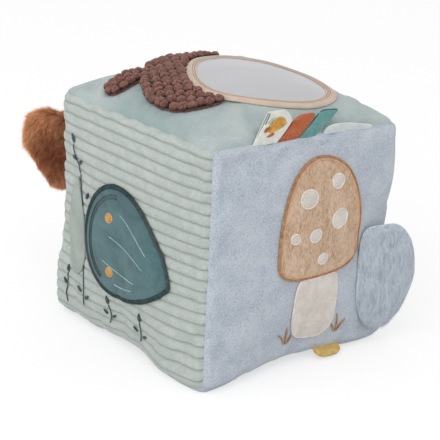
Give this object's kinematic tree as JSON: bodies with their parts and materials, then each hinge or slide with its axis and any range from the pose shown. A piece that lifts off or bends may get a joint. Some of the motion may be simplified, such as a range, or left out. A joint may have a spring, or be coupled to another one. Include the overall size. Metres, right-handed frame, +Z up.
{
  "type": "soft fabric activity block",
  "caption": "Stuffed fabric cube with a crowned skin, an acorn-shaped mirror, a lift flap, a fur tail, ribbon tabs and a rattle inside.",
  "frame": {"origin": "middle of the flat under side, on the surface that the block stands on", "axes": "+Z up through the mirror; -Y out of the blue mushroom face; -X out of the corduroy face"},
  "size_m": [0.1685, 0.2136, 0.1735],
  "materials": {
    "blue_plush": "short pile plush",
    "mint_corduroy": "jumbo corduroy",
    "green_velour": "velour",
    "fibre": "polyester fibre",
    "clear_plastic": "moulded",
    "bead_plastic": "moulded",
    "foam": "soft foam padding",
    "mirror_film": "flexible safety mirror",
    "tan_cloth": "stitched cloth",
    "brown_popcorn": "popcorn fleece",
    "tan_plush": "short pile plush",
    "cream_plush": "short pile plush",
    "teal_velvet": "velvet",
    "brown_fur": "long pile fur",
    "white_tape": "woven ribbon",
    "rust_tape": "satin ribbon",
    "teal_tape": "woven ribbon",
    "ochre_tape": "woven ribbon"
  },
  "bodies": {
    "block": {"front_panel": "blue_plush", "corduroy_panel": "mint_corduroy", "top_panel": "green_velour", "back_panel": "blue_plush", "right_panel": "green_velour", "base_panel": "blue_plush", "filling_lower": "fibre", "filling_upper": "fibre", "rattle_case_lower": "clear_plastic", "rattle_case_upper": "clear_plastic", "mirror_pad": "foam", "mirror_sheet": "mirror_film", "mirror_bezel": "tan_cloth", "acorn_cap": "brown_popcorn", "acorn_stem": "brown_popcorn", "mushroom_cap": "tan_plush", "mushroom_stalk": "cream_plush", "velvet_leaf": "teal_velvet", "pale_petal": "green_velour"},
    "flap": {"flap_front": "blue_plush", "flap_back": "blue_plush", "flap_filling": "fibre"},
    "tail": {"tail_fur_left": "brown_fur", "tail_fur_right": "brown_fur", "tail_filling": "fibre"},
    "white_ribbon": {"tab_white": "white_tape"},
    "rust_ribbon": {"tab_rust": "rust_tape"},
    "teal_ribbon": {"tab_teal": "teal_tape"},
    "label": {"seam_label": "white_tape"},
    "ochre_ribbon": {"base_tab": "ochre_tape"},
    "rattle_bead_1": {"bead_1": "bead_plastic"},
    "rattle_bead_2": {"bead_2": "bead_plastic"},
    "rattle_bead_3": {"bead_3": "bead_plastic"}
  },
  "joints": [
    {"name": "flap_lift", "type": "hinge", "parent": "block", "child": "flap", "pos_m": [0.044, -0.07974, 0.0485], "axis": [0, 0, -1], "range_deg": [-10, 115], "stiffness_Nm_per_rad": 0.002},
    {"name": "tail_swing", "type": "hinge", "parent": "block", "child": "tail", "pos_m": [-0.055, 0.07799, 0.102], "axis": [0, 0, 1], "range_deg": [-42, 22], "stiffness_Nm_per_rad": 0.003},
    {"name": "white_tab_bend", "type": "hinge", "parent": "block", "child": "white_ribbon", "pos_m": [-0.03225, -0.07188, 0.15291], "axis": [0.9987, 0.0038, -0.0515], "range_deg": [-18, 125], "stiffness_Nm_per_rad": 0.0003},
    {"name": "rust_tab_bend", "type": "hinge", "parent": "block", "child": "rust_ribbon", "pos_m": [-0.01379, -0.07189, 0.15197], "axis": [0.9987, -0.0064, -0.0501], "range_deg": [-18, 125], "stiffness_Nm_per_rad": 0.0003},
    {"name": "teal_tab_bend", "type": "hinge", "parent": "block", "child": "teal_ribbon", "pos_m": [0.0017, -0.07206, 0.15119], "axis": [0.9986, -0.0158, -0.0504], "range_deg": [-18, 125], "stiffness_Nm_per_rad": 0.0003},
    {"name": "label_bend", "type": "hinge", "parent": "block", "child": "label", "pos_m": [0.03263, -0.073, 0.14909], "axis": [0.9963, -0.0374, -0.0772], "range_deg": [-18, 115], "stiffness_Nm_per_rad": 0.0001},
    {"name": "ochre_tab_lift", "type": "hinge", "parent": "block", "child": "ochre_ribbon", "pos_m": [0.02523, -0.07625, 0.00547], "axis": [-0.9961, 0.0539, 0.0703], "range_deg": [0, 45]},
    {"name": "bead_1_rattle", "type": "slide", "parent": "block", "child": "rattle_bead_1", "axis": [0, 0, 1], "range_m": [0, 0.0234]},
    {"name": "bead_2_rattle", "type": "slide", "parent": "block", "child": "rattle_bead_2", "axis": [0, 0, 1], "range_m": [0, 0.0234]},
    {"name": "bead_3_rattle", "type": "slide", "parent": "block", "child": "rattle_bead_3", "axis": [0, 0, 1], "range_m": [0, 0.0234]}
  ]
}
